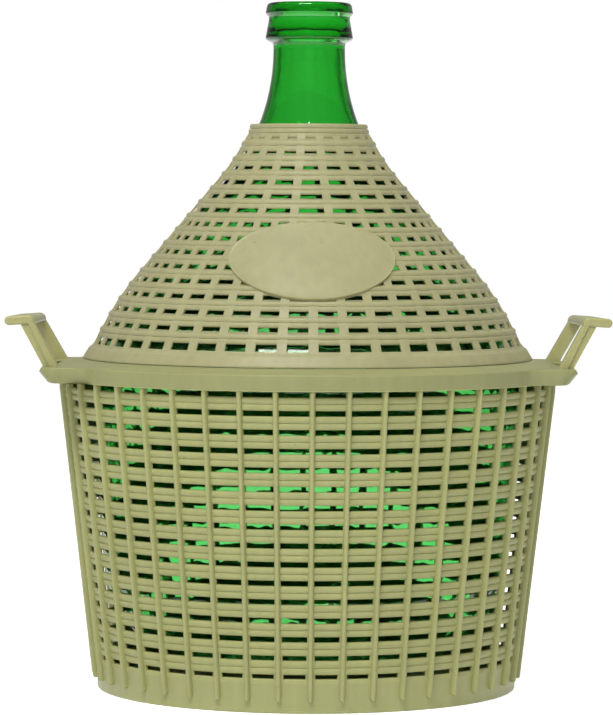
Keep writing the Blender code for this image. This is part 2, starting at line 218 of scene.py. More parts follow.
def bottle_glass():
    """Moulded green bottle glass: smooth, deep green where the light's path in it is long, with
    slow ripples where it set against the mould."""
    ripple_size = 0.030
    ripple_depth = 0.002
    material = bpy.data.materials.new("blown_green_bottle_glass")
    material.use_nodes = True
    shader = material.node_tree.nodes["Principled BSDF"]
    shader.inputs["Base Color"].default_value = linear("#FFFFFF")
    shader.inputs["Roughness"].default_value = 0.02
    shader.inputs["IOR"].default_value = 1.52
    shader.inputs["Transmission Weight"].default_value = 1.0
    place = node(material, "ShaderNodeTexCoord").outputs["Object"]
    ripple = node(material, "ShaderNodeTexNoise",
                  {"Vector": place, "Scale": 1 / ripple_size, "Detail": 2.0})
    bump = node(material, "ShaderNodeBump",
                {"Height": ripple.outputs["Fac"], "Strength": 0.6, "Distance": ripple_depth})
    absorption = node(material, "ShaderNodeVolumeAbsorption",
                      {"Color": linear("#43E46E"), "Density": 700.0})
    links = material.node_tree.links
    links.new(bump.outputs["Normal"], shader.inputs["Normal"])
    output = material.node_tree.nodes["Material Output"]
    links.new(absorption.outputs["Volume"], output.inputs["Volume"])
    return material


# Corners of the lip's outer face, from the mouth down over a bead, a groove and a broad ring:
# how far each stands out from the neck, how far it lies below the mouth, and its fillet

lip_face = [
    (0.0040, 0, 0.0030),
    (0.0052, 0.0068, 0.0011),
    (0.0030, 0.0094, 0.0008),
    (0.0031, 0.0112, 0.0006),
    (0.0054, 0.0240, 0.0024),
    (0.0006, 0.0262, 0.0010),
    (0, 0.0280, 0.0010),
]
lip_corners = [
    (neck_radius - neck_wall, mouth_z - lip_height, 0),
    (lip_bore_radius, mouth_z - lip_bore_depth, lip_bore_round),
    (lip_bore_radius, mouth_z, lip_bore_edge),
    *((neck_radius + proud, mouth_z - drop, fillet) for proud, drop, fillet in lip_face),
]
body_corners = [
    (neck_radius, mouth_z - lip_height, 0),
    (neck_radius, neck_foot_z, neck_sweep),
    (cone_foot_radius, cone_foot_z, cone_foot_round),
    (shoulder_radius, shoulder_z, shoulder_round),
    (heel_radius, vessel_base_z, heel_round),
    (punt_radius, vessel_base_z, punt_round),
    (0, vessel_base_z + punt_height, 0),
]
lip_line = rounded_line(lip_corners + body_corners[:1], glass_arc_step)
body_line = rounded_line(body_corners, glass_arc_step)
body_distance = line_length(body_line)
wall_here = np.interp(body_distance, [thinning_start, thinning_end], [neck_wall, body_wall])
inner_line = along(body_line, body_distance, -wall_here)
inner_line[-1, 0] = 0
vessel_line = np.concatenate((inner_line[::-1], lip_line, body_line[1:]))
vessel = solid("blown_glass_vessel", (turned(vessel_line, vessel_sides), False))
finished(vessel, bottle_glass(), "vessel_body", crease=60)
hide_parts("glass_vessel")


# Basket
# One piece of beige high-density polyethylene, injection moulded: a wall of beaded bands on flat
# uprights with raised ribs, a plain foot with the floor, and a rim with a skirt and two ears.

columns = 44
column_angle = 2 * math.pi / columns
basket_turn = math.radians(0.55)
side_angles = np.arange(columns) * column_angle - math.pi / 2 + basket_turn
ring_sides = 3 * columns
mould_arc_step = math.radians(10)
wall_top = (0.1623, 0.2118)
wall_foot = (0.1377, 0.0)
wall_lean = math.atan2(wall_top[0] - wall_foot[0], wall_top[1])
wall_line = np.array([wall_top, wall_foot])
basket_wall = 0.0030
slot_rows = 16
first_row_z = 0.0232
last_row_z = 0.2009
row_z = np.linspace(first_row_z, last_row_z, slot_rows)
slot_height = 0.0037
low_slot_heights = (0.0029, 0.0033)
row_slots = np.full(slot_rows, slot_height)
row_slots[:len(low_slot_heights)] = low_slot_heights
bead_points = 7
bead_relief = 0.0010
upright_recess = 0.0004
upright_thickness = 0.0016
upright_width = 0.0036
upright_foot_width = 0.0059
upright_spread = 0.024
upright_levels = 13
rib_width = 0.0032
rib_proud = 0.0029
rib_root = 0.0020
rib_fullness = 0.7
rib_points = 8
end_points = 6
rib_foot_z = 0.0076
rib_foot_turn = math.pi / 2 - 0.15
rib_overrun = 0.0008
rib_shoulder_drop = 0.0060
rib_top_share = 0.78
rim_plate = 0.0030
skirt_foot_z = 0.2030
rim_edge_z = 0.2133
rim_z = 0.2165
rim_radius = 0.1650
rim_inner_radius = 0.1430
skirt_lean = 0.0009
skirt_inner_radius = 0.1593
ledge_corner_radius = 0.1490


def down_wall(height):
    """Distance down the wall's line at a height."""
    return (wall_top[1] - height) / math.cos(wall_lean)


def beads(count, relief, wall, tip=0.0, lip=0.0, core=0.0):
    """Outline of a band as (share of its width, lift): half ellipses side by side, a flat back.

    The tip lifts the band's upper edge and sinks its lower one by that much, and the lip is the
    share of the width that a plain slope takes below the last half ellipse. The back is moved up
    by the share called core, as the mould's cores are drawn out level and not square to the wall.
    """
    swing = np.linspace(0, math.pi, bead_points)
    share = np.concatenate([(number + 0.5 - np.cos(swing) / 2) / count for number in range(count)])
    share = np.concatenate((share * (1 - lip), [1 - core, -core])) - 0.5
    lift = np.concatenate((np.tile(relief * (np.sin(swing) - 1), count), [-wall, -wall]))
    return share, lift - np.where(lift > -wall, 2 * tip * share, 0)


def rings(line, starts, ends, outline, sides):
    """Full rings of an outline (share, lift), each between two distances down a line."""
    share, lift = outline
    across = (starts + ends)[:, None] / 2 + (ends - starts)[:, None] * share
    return turned(along(line, across, lift), sides)


def strips(line, distance, across, lift, angles):
    """Strips laid down a line: an outline (across, lift) at each distance, turned to each angle.

    The outline's across is carried straight out sideways from the radius at that angle.
    """
    place = along(line, distance[:, None], lift)
    radius, height = place[..., 0], place[..., 1]
    angle = np.asarray(angles)[:, None, None]
    return np.stack((radius * np.cos(angle) - across * np.sin(angle),
                     radius * np.sin(angle) + across * np.cos(angle),
                     height + 0 * angle), axis=-1)


def uprights(name, line, distance, widths, recess, thickness, angles):
    """Flat uprights down a line: a box in section, of the width given at each distance, sunk by
    the recess."""
    across = widths[:, None] / 2 * np.array([-1, 1, 1, -1])
    lift = -recess - thickness * np.array([0, 0, 1, 1])
    return solid(name, (strips(line, distance, across, lift, angles), False))


def moulded(base, *steps):
    """The base joined to or cut by other closed meshes, made one clean mesh; they are used up."""
    for operation, tool in steps:
        boolean = base.modifiers.new(tool.name, "BOOLEAN")
        boolean.object = tool
        boolean.operation = operation
        boolean.solver = "MANIFOLD"
    bpy.context.view_layer.update()
    depsgraph = bpy.context.evaluated_depsgraph_get()
    joined = bpy.data.meshes.new_from_object(base.evaluated_get(depsgraph))
    base.modifiers.clear()
    base.data = joined
    for tool in {tool for _, tool in steps}:
        bpy.data.objects.remove(tool)
    return base


# Bands between the rows of slots, and uprights that widen towards the foot by an exponential

slot_tops = down_wall(row_z) - row_slots / 2
slot_feet = down_wall(row_z) + row_slots / 2
band_outline = beads(2, bead_relief, basket_wall)
band_rings = rings(wall_line, slot_feet[1:], slot_tops[:-1], band_outline, ring_sides)
basket_bands = solid("basket_bands", (band_rings, True))

upright_z = np.linspace(rim_edge_z - rim_plate, first_row_z - slot_height, upright_levels)
upright_flare = np.exp((first_row_z - upright_z) / upright_spread)
upright_widths = upright_width + (upright_foot_width - upright_width) * upright_flare
basket_uprights = uprights("basket_uprights", wall_line, down_wall(upright_z), upright_widths,
                           upright_recess, upright_thickness, side_angles)

# Ribs on the uprights: the lift is proud times a power of sin s across half a width of cos s.
# The foot narrows by cos t and sinks by (1 + cos t) / 2, and the top sinks behind the skirt.

rib_swing = np.linspace(0, math.pi, rib_points)
rib_arch = rib_proud * np.sin(rib_swing) ** rib_fullness
rib_lift = np.concatenate(([-rib_root], rib_arch, [-rib_root]))
rib_across = rib_width / 2 * np.concatenate(([1], np.cos(rib_swing), [-1]))
rib_foot_swing = np.linspace(0, rib_foot_turn, end_points)
rib_top = down_wall(skirt_foot_z + rib_overrun)
rib_shoulder = down_wall(skirt_foot_z - rib_shoulder_drop)
rib_foot_run = down_wall(rib_foot_z) - rib_width / 2 * (1 - np.sin(rib_foot_swing))
rib_run = np.concatenate(([rib_top, rib_shoulder], rib_foot_run))
rib_narrowing = np.concatenate(([1, 1], np.cos(rib_foot_swing)))[:, None]
rib_rise = np.concatenate(([rib_top_share, 1], (1 + np.cos(rib_foot_swing)) / 2))[:, None]
rib_grid = strips(wall_line, rib_run, rib_across * rib_narrowing,
                  rib_lift * np.where(rib_lift > 0, rib_rise, 1), side_angles)
basket_ribs = solid("basket_ribs", (rib_grid, False))

# Foot band and floor: a round seat holds the vessel's base, over a drain hole

seat_gap = 0.0003
seat_z = vessel_base_z - seat_gap
seat_radius = 0.0638
seat_slope_width = 0.008
seat_wall_step = 0.001
drain_radius = 0.020
drain_edge = 0.0005
floor_edge = 0.001
floor_corner = 0.002
foot_edge = 0.0010
foot_recess = 0.0004
foot_bend_z = 0.004
foot_bend_round = 0.02
foot_top_z = first_row_z - row_slots[0] / 2 * math.cos(wall_lean)

# Corners of the foot band's bead: how far each lies below its top, its lift, and its fillet

foot_bead = [(0, -0.0009, 0.0006), (0.0026, -0.0001, 0.003), (0.0050, -0.0004, 0.006)]


def on_wall(height, lift, fillet):
    """A corner of an outline at a height of the basket's wall, lifted square to it."""
    return (*along(wall_line, down_wall(height), lift), fillet)


basket_foot_line = rounded_line([
    on_wall(foot_top_z, -basket_wall, 0),
    *(on_wall(foot_top_z - drop, lift, fillet) for drop, lift, fillet in foot_bead),
    on_wall(foot_bend_z, -foot_recess, foot_bend_round),
    (wall_foot[0], 0, foot_edge),
    (seat_radius + seat_slope_width, 0, floor_edge),
    (seat_radius, seat_z - basket_wall, floor_edge),
    (drain_radius, seat_z - basket_wall, drain_edge),
    (drain_radius, seat_z, drain_edge),
    (seat_radius + seat_wall_step, seat_z, floor_edge),
    (seat_radius + seat_slope_width + seat_wall_step, basket_wall, floor_edge),
    (wall_foot[0] - basket_wall, basket_wall, floor_corner),
    on_wall(foot_top_z, -basket_wall, 0),
], mould_arc_step)[:-1]
basket_foot = solid("basket_foot", (turned(basket_foot_line, ring_sides), True))

# Rim: a sloping ledge, and a leaning skirt with a thin flash line along its foot

flash_width = 0.0005
flash_height = 0.0006
flash_edge = 0.0001
flash_round = 0.0002
rim_inner_edge = 0.0004
ledge_round = 0.004
rim_edge_round = 0.0009
skirt_inner_round = 0.001
skirt_foot_radius = rim_radius - skirt_lean
rim_start = (rim_inner_radius, rim_z - rim_plate / 3, 0)
rim_line = rounded_line([
    rim_start,
    (rim_inner_radius, rim_z, rim_inner_edge),
    (ledge_corner_radius, rim_z, ledge_round),
    (rim_radius - flash_width / 2, rim_edge_z, rim_edge_round),
    (skirt_foot_radius, skirt_foot_z + flash_height, flash_edge),
    (skirt_foot_radius + flash_width, skirt_foot_z + flash_height / 2, flash_round),
    (skirt_foot_radius, skirt_foot_z, flash_edge),
    (skirt_inner_radius, skirt_foot_z, 0),
    (skirt_inner_radius, rim_edge_z - rim_plate, skirt_inner_round),
    (rim_inner_radius, rim_z - rim_plate, rim_inner_edge),
    rim_start,
], mould_arc_step)[:-1]
basket_rim = solid("basket_rim", (turned(rim_line, ring_sides), True))

# Ears of the basket's rim: hollow blocks whose flanks flare into the skirt, with a slanted end

ear_half_width = 0.080
ear_flare = 0.031
ear_corner = 0.010
ear_tip_x = 0.1727
ear_drop = 0.0001
ear_top_z = rim_edge_z - ear_drop
ear_tip_drop = 0.0028
ear_tip_z = rim_edge_z - ear_tip_drop
ear_foot_rise = 0.0002
ear_top_setback = 0.0009
ear_foot_setback = 0.0064
ear_wall = 0.0025
ear_edge = 0.0008
top_edge_share = 0.3
foot_edge_share = 0.5
pocket_overrun = 0.0040
pocket_top_setback = ear_top_setback + 0.001
pocket_foot_setback = ear_foot_setback + 0.0035
trim_top_z = 0.230
trim_foot_z = 0.190
trim_radius = (skirt_inner_radius + rim_radius) / 2
flare_reach = trim_radius + ear_flare
flare_x = math.sqrt(flare_reach ** 2 - (ear_half_width + ear_flare) ** 2)
flank_x = flare_x * trim_radius / flare_reach
flank_y = (ear_half_width + ear_flare) * trim_radius / flare_reach
flank_corner_x = (trim_radius ** 2 - ear_half_width * flank_y) / flank_x
ear_root_x = math.sqrt(skirt_inner_radius ** 2 - flank_y ** 2) - ear_wall
ear_half_plan = rounded_line([
    (ear_root_x, flank_y, 0),
    (flank_x, flank_y, 0),
    (flank_corner_x, ear_half_width, ear_flare),
    (ear_tip_x, ear_half_width, ear_corner),
    (ear_tip_x, 0, 0),
], mould_arc_step)[:-1]
ear_plan = np.concatenate((ear_half_plan, ear_half_plan[::-1] * (1, -1)))
right_side = np.array((1, 1, 1))
left_side = np.array((-1, -1, 1))


def ear(name, levels):
    """A block whose plan is the ear's outline: at each level (height, setback, inset).

    The inset moves the outline in, square to itself, and the setback pulls only its end back.
    """
    ahead = np.roll(ear_plan, -1, axis=0) - np.roll(ear_plan, 1, axis=0)
    outwards = np.stack((-ahead[:, 1], ahead[:, 0]), axis=-1)
    outwards /= np.linalg.norm(outwards, axis=-1, keepdims=True)
    end_share = np.clip((ear_plan[:, 0] - flank_corner_x) / (ear_tip_x - flank_corner_x), 0, 1)
    height, setback, inset = np.array(levels).T[:, :, None]
    plan = ear_plan - outwards * inset[..., None]
    right = np.stack((plan[..., 0] - setback * end_share, plan[..., 1],
                      height + 0 * end_share), axis=-1)[:, ::-1]
    return solid(name, (np.stack((right * right_side, right * left_side)), False))


ear_blocks = ear("ear_blocks", [
    (ear_top_z, ear_top_setback, ear_edge),
    (ear_top_z - ear_edge * top_edge_share, ear_top_setback, ear_edge * top_edge_share),
    (ear_top_z - ear_edge, ear_top_setback, 0),
    (ear_tip_z, 0, 0),
    (skirt_foot_z + ear_edge, ear_foot_setback - ear_edge, 0),
    (skirt_foot_z + ear_foot_rise, ear_foot_setback, ear_edge * foot_edge_share),
])
ear_pockets = ear("ear_pockets", [
    (ear_top_z - rim_plate, pocket_top_setback, ear_wall),
    (skirt_foot_z - pocket_overrun, pocket_foot_setback, ear_wall),
])

# A turned cutter takes off what the blocks have inside the middle of the skirt's wall

trim_line = np.array([(0, trim_top_z), (trim_radius, trim_top_z),
                      (trim_radius, trim_foot_z), (0, trim_foot_z)])
trim = solid("ear_trim", (turned(trim_line, ring_sides), False))
ears = moulded(ear_blocks, ("DIFFERENCE", ear_pockets), ("DIFFERENCE", trim))

# Sockets for the handles' legs, and a lens-shaped window between each pair

leg_lean = math.radians(28.3)
leg_depth = 0.0083
leg_width = 0.0120
leg_round = 0.0011
leg_insert = 0.0073
leg_foot_z = rim_edge_z - leg_insert
leg_centre_y = 0.058
leg_edge_margin = 0.0013
leg_x = ear_tip_x - ear_top_setback - leg_edge_margin - leg_depth / math.cos(leg_lean) / 2
socket_overrun = 0.004
window_half_length = 0.019
window_half_width = 0.0030
window_x = 0.1640
window_points = 25
box_corner_points = 5


def rounded_box(half_width, half_height, radius):
    """Outline of a box with round corners: quarter circles about four centres."""
    swing = np.linspace(0, math.pi / 2, box_corner_points)
    centre = np.array((half_width - radius, half_height - radius))
    corner_signs = ((1, 1), (-1, 1), (-1, -1), (1, -1))
    quarters = [centre * signs
                + radius * np.stack((np.cos(swing + turn), np.sin(swing + turn)), axis=-1)
                for turn, signs in zip(np.arange(4) * math.pi / 2, corner_signs)]
    return np.concatenate(quarters)


def on_leg(distance, across, sideways):
    """Places on the leaning legs: up the lean from the rim's edge, square to it, and along Y."""
    distance, across, sideways = np.broadcast_arrays(distance, across, sideways)
    return np.stack((leg_x + distance * math.sin(leg_lean) + across * math.cos(leg_lean),
                     sideways,
                     rim_edge_z + distance * math.cos(leg_lean) - across * math.sin(leg_lean)),
                    axis=-1)


def legs(foot_z, top_z, clearance):
    """Two legs between two heights: a rounded box carried up the lean, grown by a clearance."""
    outline = rounded_box(leg_depth / 2 + clearance, leg_width / 2 + clearance, leg_round)
    ends = (np.array((foot_z, top_z)) - rim_edge_z) / math.cos(leg_lean)
    centres = np.array((-leg_centre_y, leg_centre_y))
    return on_leg(ends[None, :, None], outline[:, 0], centres[:, None, None] + outline[:, 1])


def lens(foot_z, top_z):
    """The window between two heights: an outline between two parabolas, carried straight up."""
    share = np.linspace(-1, 1, window_points)
    bulge = window_half_width * (1 - share ** 2)
    outer = np.stack((window_x + bulge, share * window_half_length), axis=-1)
    inner = np.stack((window_x - bulge, share * window_half_length), axis=-1)
    outline = np.concatenate((outer, inner[-2:0:-1]))
    height = np.array((top_z, foot_z))[:, None]
    return np.stack(np.broadcast_arrays(outline[:, 0], outline[:, 1], height), axis=-1)


socket_grid = legs(leg_foot_z - seat_gap, rim_z + socket_overrun, seat_gap)
window_grid = lens(leg_foot_z, rim_z + socket_overrun)
sockets = solid("leg_sockets", (socket_grid * right_side, False), (socket_grid * left_side, False))
windows = solid("ear_windows", (window_grid * right_side, False), (window_grid * left_side, False))
basket = moulded(basket_foot, ("UNION", basket_uprights), ("UNION", basket_bands),
                 ("UNION", basket_ribs), ("UNION", basket_rim), ("UNION", ears),
                 ("DIFFERENCE", sockets), ("DIFFERENCE", windows))
basket.name = "slotted_basket"


def moulded_polyethylene(name, colour, streak, roughness, painted_rim_shade=1.0):
    """High-density polyethylene from a mould: waxy and half glossy, with faint cloudy mottling,
    flow streaks down the wall, a few dark specks, and a skin that is not quite even. Above the
    skirt's foot its colour is darkened by the rim shade, a painted shade on the skirt and ledge."""
    cloud_size = 0.045
    streak_width = 0.006
    streak_length = 0.120
    speck_size = 0.0022
    skin_grain = 0.0035
    skin_depth = 0.0004
    roughness_swing = 0.05
    # Heights where the painted shade on the rim starts and is full
    painted_shade_start_z = skirt_foot_z - 0.0002
    painted_shade_full_z = skirt_foot_z + 0.0008
    material = bpy.data.materials.new(name)
    material.use_nodes = True
    shader = material.node_tree.nodes["Principled BSDF"]
    shader.inputs["IOR"].default_value = 1.5
    shader.inputs["Subsurface Weight"].default_value = 0.6
    shader.inputs["Subsurface Radius"].default_value = (1.0, 0.8, 0.45)
    shader.inputs["Subsurface Scale"].default_value = 0.0025
    place = node(material, "ShaderNodeTexCoord").outputs["Object"]
    cloud = node(material, "ShaderNodeTexNoise",
                 {"Vector": place, "Scale": 1 / cloud_size, "Detail": 2.0})
    down = node(material, "ShaderNodeMapping",
                {"Vector": place, "Scale": (1 / streak_width, 1 / streak_width, 1 / streak_length)})
    flow = node(material, "ShaderNodeTexNoise",
                {"Vector": down.outputs["Vector"], "Scale": 1.0, "Detail": 1.0})
    speck = node(material, "ShaderNodeTexNoise",
                 {"Vector": place, "Scale": 1 / speck_size, "Detail": 1.0})
    skin = node(material, "ShaderNodeTexNoise",
                {"Vector": place, "Scale": 1 / skin_grain, "Detail": 2.0})
    tone = node(material, "ShaderNodeMath",
                {0: cloud.outputs["Fac"], 1: flow.outputs["Fac"]}, operation="ADD")
    shade = node(material, "ShaderNodeMapRange",
                 {"Value": tone.outputs["Value"], "From Min": 0.7, "From Max": 1.3,
                  "To Min": 1 - streak, "To Max": 1 + streak})
    dark = node(material, "ShaderNodeMapRange",
                {"Value": speck.outputs["Fac"], "From Min": 0.76, "From Max": 0.80,
                 "To Min": 1.0, "To Max": 0.72})
    height = node(material, "ShaderNodeSeparateXYZ", {"Vector": place}).outputs["Z"]
    # Painted shade: above the skirt's foot the colour is darkened by the rim shade
    rim = node(material, "ShaderNodeMapRange",
               {"Value": height, "From Min": painted_shade_start_z, "From Max": painted_shade_full_z,
                "To Min": 1.0, "To Max": painted_rim_shade})
    factor = node(material, "ShaderNodeMath",
                  {0: shade.outputs["Result"], 1: dark.outputs["Result"]}, operation="MULTIPLY")
    factor = node(material, "ShaderNodeMath",
                  {0: factor.outputs["Value"], 1: rim.outputs["Result"]}, operation="MULTIPLY")
    tint = node(material, "ShaderNodeVectorMath",
                {0: linear(colour)[:3], "Scale": factor.outputs["Value"]}, operation="SCALE")
    gloss = node(material, "ShaderNodeMapRange",
                 {"Value": skin.outputs["Fac"], "To Min": roughness - roughness_swing,
                  "To Max": roughness + roughness_swing})
    bump = node(material, "ShaderNodeBump",
                {"Height": skin.outputs["Fac"], "Strength": 0.12, "Distance": skin_depth})
    links = material.node_tree.links
    links.new(tint.outputs["Vector"], shader.inputs["Base Color"])
    links.new(gloss.outputs["Result"], shader.inputs["Roughness"])
    links.new(bump.outputs["Normal"], shader.inputs["Normal"])
    return material


# The basket's rim gets a painted shade of 0.82 on its colour
basket_polyethylene = moulded_polyethylene("moulded_polyethylene_olive_beige", "#B2B47B",
                                           streak=0.05, roughness=0.45, painted_rim_shade=0.82)
finished(basket, basket_polyethylene, "basket_body")
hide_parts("basket")


# Handles
# Two carrying handles of polyethylene, glossier than the basket's, each moulded in one piece: a
# flat grip on two leaning legs, whose feet are pressed into the sockets of the basket's ears.

grip_length = 2 * leg_centre_y + leg_width
grip_width = 0.0190
grip_thickness = 0.0058
grip_round = 0.0028
grip_bend = 0.0042
grip_heel_round = 0.0010
grip_end_round = 0.0014
grip_droop = math.radians(4)
grip_height = 0.0327
grip_z = rim_edge_z + grip_height - grip_thickness / 2
grip_sink = 0.0026
grip_reach = 0.19530
grip_x = grip_reach - grip_width / 2
strip_depth = 0.0014
strip_top_width = 0.0050
strip_foot_width = 0.0030
strip_foot_overrun = 0.002
strip_side_overrun = 0.001
strip_cut = 0.003

# Grip: a drooping bar whose outline shrinks to both ends by quarter circles

grip_outline = rounded_line([
    (0, -grip_thickness / 2, 0),
    (grip_width / 2, -grip_thickness / 2, grip_round),
    (grip_width / 2, grip_thickness / 2, grip_round),
    (-grip_width / 2, grip_thickness / 2, grip_bend),
    (-grip_width / 2, -grip_thickness / 2, grip_heel_round),
    (0, -grip_thickness / 2, 0),
], mould_arc_step)[:-1]
end_swing = np.linspace(0, math.pi / 2, end_points)
end_inset = grip_end_round * (1 - np.cos(end_swing))
end_place = grip_length / 2 - grip_end_round * (1 - np.sin(end_swing))
grip_insets = np.concatenate((end_inset[::-1], end_inset))[:, None]
grip_places = np.concatenate((-end_place[::-1], end_place))[:, None]
grip_across = grip_outline[:, 0] * (1 - 2 * grip_insets / grip_width)
grip_up = grip_outline[:, 1] * (1 - 2 * grip_insets / grip_thickness)
grip_grid = np.stack((
    grip_x + grip_across * math.cos(grip_droop) + grip_up * math.sin(grip_droop),
    grip_places + 0 * grip_up,
    grip_z - grip_across * math.sin(grip_droop) + grip_up * math.cos(grip_droop)), axis=-1)

# Legs, each with a sunk strip down its outer flank that widens upwards

leg_grid = legs(leg_foot_z, grip_z, 0)
strip_span = np.array((leg_foot_z - strip_foot_overrun, grip_z))
strip_run = (strip_span - rim_edge_z) / math.cos(leg_lean)
strip_split = leg_depth / 2 - np.array((strip_foot_width, strip_top_width))[:, None]
strip_box = np.array([(0, 0), (1, 0), (1, 1), (0, 1)])
strip_across = strip_split + (leg_depth / 2 + strip_side_overrun - strip_split) * strip_box[:, 0]
strip_sideways = leg_centre_y + leg_width / 2 - strip_depth + strip_cut * strip_box[:, 1]
strip_grids = [on_leg(strip_run[:, None], strip_across, end * strip_sideways) for end in (-1, 1)]


def sagged(points):
    """Points of a handle lowered by the sink, times the share of the grip's length from its front
    end, times the share of the grip's height above the rim."""
    back = points[..., 1:2] / grip_length + 0.5
    rise = np.clip((points[..., 2:] - rim_z) / (grip_z - rim_z), 0, 1)
    return points - (0, 0, grip_sink) * back * rise


handle_polyethylene = moulded_polyethylene("moulded_polyethylene_glossy_beige", "#B4B37C",
                                           streak=0.04, roughness=0.33)
for name, side in (("handle_right", right_side), ("handle_left", left_side)):
    strips_cut = solid(name + "_strips", *((sagged(grid * side), False) for grid in strip_grids))
    handle_legs = solid(name + "_legs", (sagged(leg_grid * side), False))
    handle_legs = moulded(handle_legs, ("DIFFERENCE", strips_cut))
    handle = solid(name + "_grip", (sagged(grip_grid * side), False))
    handle = moulded(handle, ("UNION", handle_legs))
    handle.name = "moulded_" + name
    finished(handle, handle_polyethylene, "basket_body")
    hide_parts(name)


# Cover
# One cone of beige high-density polyethylene, injection moulded like the basket, with a plain foot
# band that stands on the basket's rim and a raised oval plate at the front. It lifts straight off.

cover_turn = math.radians(0.4)
cover_angles = side_angles + cover_turn
cover_wall = 0.0021
cover_out = 0.0046
collar_drop = 0.0795
collar_z = mouth_z - collar_drop
cover_foot_z = rim_z + seat_gap
cover_foot_radius = 0.1478
foot_band_height = 0.0087
band_top_z = cover_foot_z + foot_band_height
foot_step_drop = 0.0019
foot_step_z = band_top_z - foot_step_drop
foot_step_width = 0.0037
cone_margin = 0.02
cover_rows = 15
third_row_place = 0.0345
last_row_rise = 0.0030
cover_slot = 0.0034
high_slots = (0.0026, 0.0019, 0.0024)
cover_bead_relief = 0.0010
cover_band_tip = 0.0008
cover_lip = 0.22
cover_core = 0.32
wide_rows = 6
wide_bar_width = 0.0054
narrow_bar_widths = (0.0046, 0.0063)
cover_bar_recess = 0.0004
cover_bar_thickness = 0.0014
bar_overlap = 0.001
wide_levels = 10
narrow_levels = 16

# The cone's line runs at one distance outside the glass, from the collar to the foot band

skin_line = along(body_line, body_distance, cover_out)[body_line[:, 1] > band_top_z - cone_margin]
skin_distance = line_length(skin_line)
skin_ends = np.interp([-collar_z, -band_top_z], -skin_line[:, 1], skin_distance)
between_ends = (skin_distance > skin_ends[0]) & (skin_distance < skin_ends[1])
cone_distance = np.concatenate((skin_ends[:1], skin_distance[between_ends], skin_ends[1:]))
cone_line = along(skin_line, cone_distance)
cone_length = line_length(cone_line)[-1]

# Bands between the rows of slots, and a collar of three beads above them. The rows are spaced
# evenly, by the places of the third and the last.

row_pitch = (cone_length - last_row_rise - third_row_place) / (cover_rows - 3)
cover_row = cone_length - last_row_rise - row_pitch * np.arange(cover_rows)[::-1]
cover_slots = np.full(cover_rows, cover_slot)
cover_slots[:len(high_slots)] = high_slots
cover_outline = beads(2, cover_bead_relief, cover_wall, cover_band_tip, cover_lip, cover_core)
cover_rings = rings(cone_line, cover_row[:-1] + cover_slots[:-1] / 2,
                    cover_row[1:] - cover_slots[1:] / 2, cover_outline, ring_sides)
collar_width = cover_row[0] - cover_slots[0] / 2
collar_outline = beads(3, cover_bead_relief, cover_wall, cover_band_tip)
collar_ring = rings(cone_line, np.zeros(1), np.array([collar_width]), collar_outline, ring_sides)
cover_bands = solid("cover_bands", (cover_rings, True), (collar_ring, True))

# Uprights: every second one in the upper rows, and all of them in the lower rows

wide_run = np.linspace(collar_width - bar_overlap, cover_row[wide_rows - 1] + row_pitch / 2,
                       wide_levels)
narrow_run = np.linspace(cover_row[wide_rows] - row_pitch / 2, cover_row[-1] + cover_slot,
                         narrow_levels)
narrow_widths = np.interp(narrow_run, [cover_row[wide_rows], cover_row[-1]], narrow_bar_widths)
wide_bars = uprights("cover_wide_bars", cone_line, wide_run, np.full(len(wide_run), wide_bar_width),
                     cover_bar_recess, cover_bar_thickness, cover_angles[1::2])
narrow_bars = uprights("cover_narrow_bars", cone_line, narrow_run, narrow_widths,
                       cover_bar_recess, cover_bar_thickness, cover_angles)

# Foot band: the cone's last stretch, a step outwards, and a plain upright band

cone_edge = 0.0004
cone_foot_edge = 0.0006
step_edge = 0.0008
band_round = 0.002
band_lean = 0.0002
band_lean_height = 0.0008
band_foot_edge = 0.0002
inner_edge = 0.0003
inner_step_edge = 0.0005
foot_ends = np.array([cover_row[-1] + cover_slots[-1] / 2, cone_length])
cone_foot = along(cone_line, foot_ends)
cone_foot_in = along(cone_line, foot_ends, -cover_wall)
cover_foot_line = rounded_line([
    (*cone_foot_in[0], 0),
    (*cone_foot[0], cone_edge),
    (*cone_foot[1], cone_foot_edge),
    (cover_foot_radius - foot_step_width, foot_step_z, step_edge),
    (cover_foot_radius, cover_foot_z + band_lean_height, band_round),
    (cover_foot_radius - band_lean, cover_foot_z, band_foot_edge),
    (cover_foot_radius - cover_wall, cover_foot_z, inner_edge),
    (cover_foot_radius - cover_wall - foot_step_width, foot_step_z, inner_step_edge),
    (*cone_foot_in[1], inner_edge),
    (*cone_foot_in[0], 0),
], mould_arc_step)[:-1]
cover_foot = solid("cover_foot", (turned(cover_foot_line, ring_sides), True))

# Oval plate: its raised edge is a round bead, given as insets from the oval and lifts

plate_half_width = 0.0525
plate_half_height = 0.0310
plate_rise = 0.0687
plate_centre = cone_length - plate_rise
plate_inset = np.array([0, 0, 0, 0.00015, 0.0005, 0.0009, 0.0013, 0.0018])
plate_lift = np.array([-cover_wall, 0.0, 0.0012, 0.0017, 0.0019, 0.0017, 0.00145, 0.0014])
plate_sides = 144
plate_rings = 12


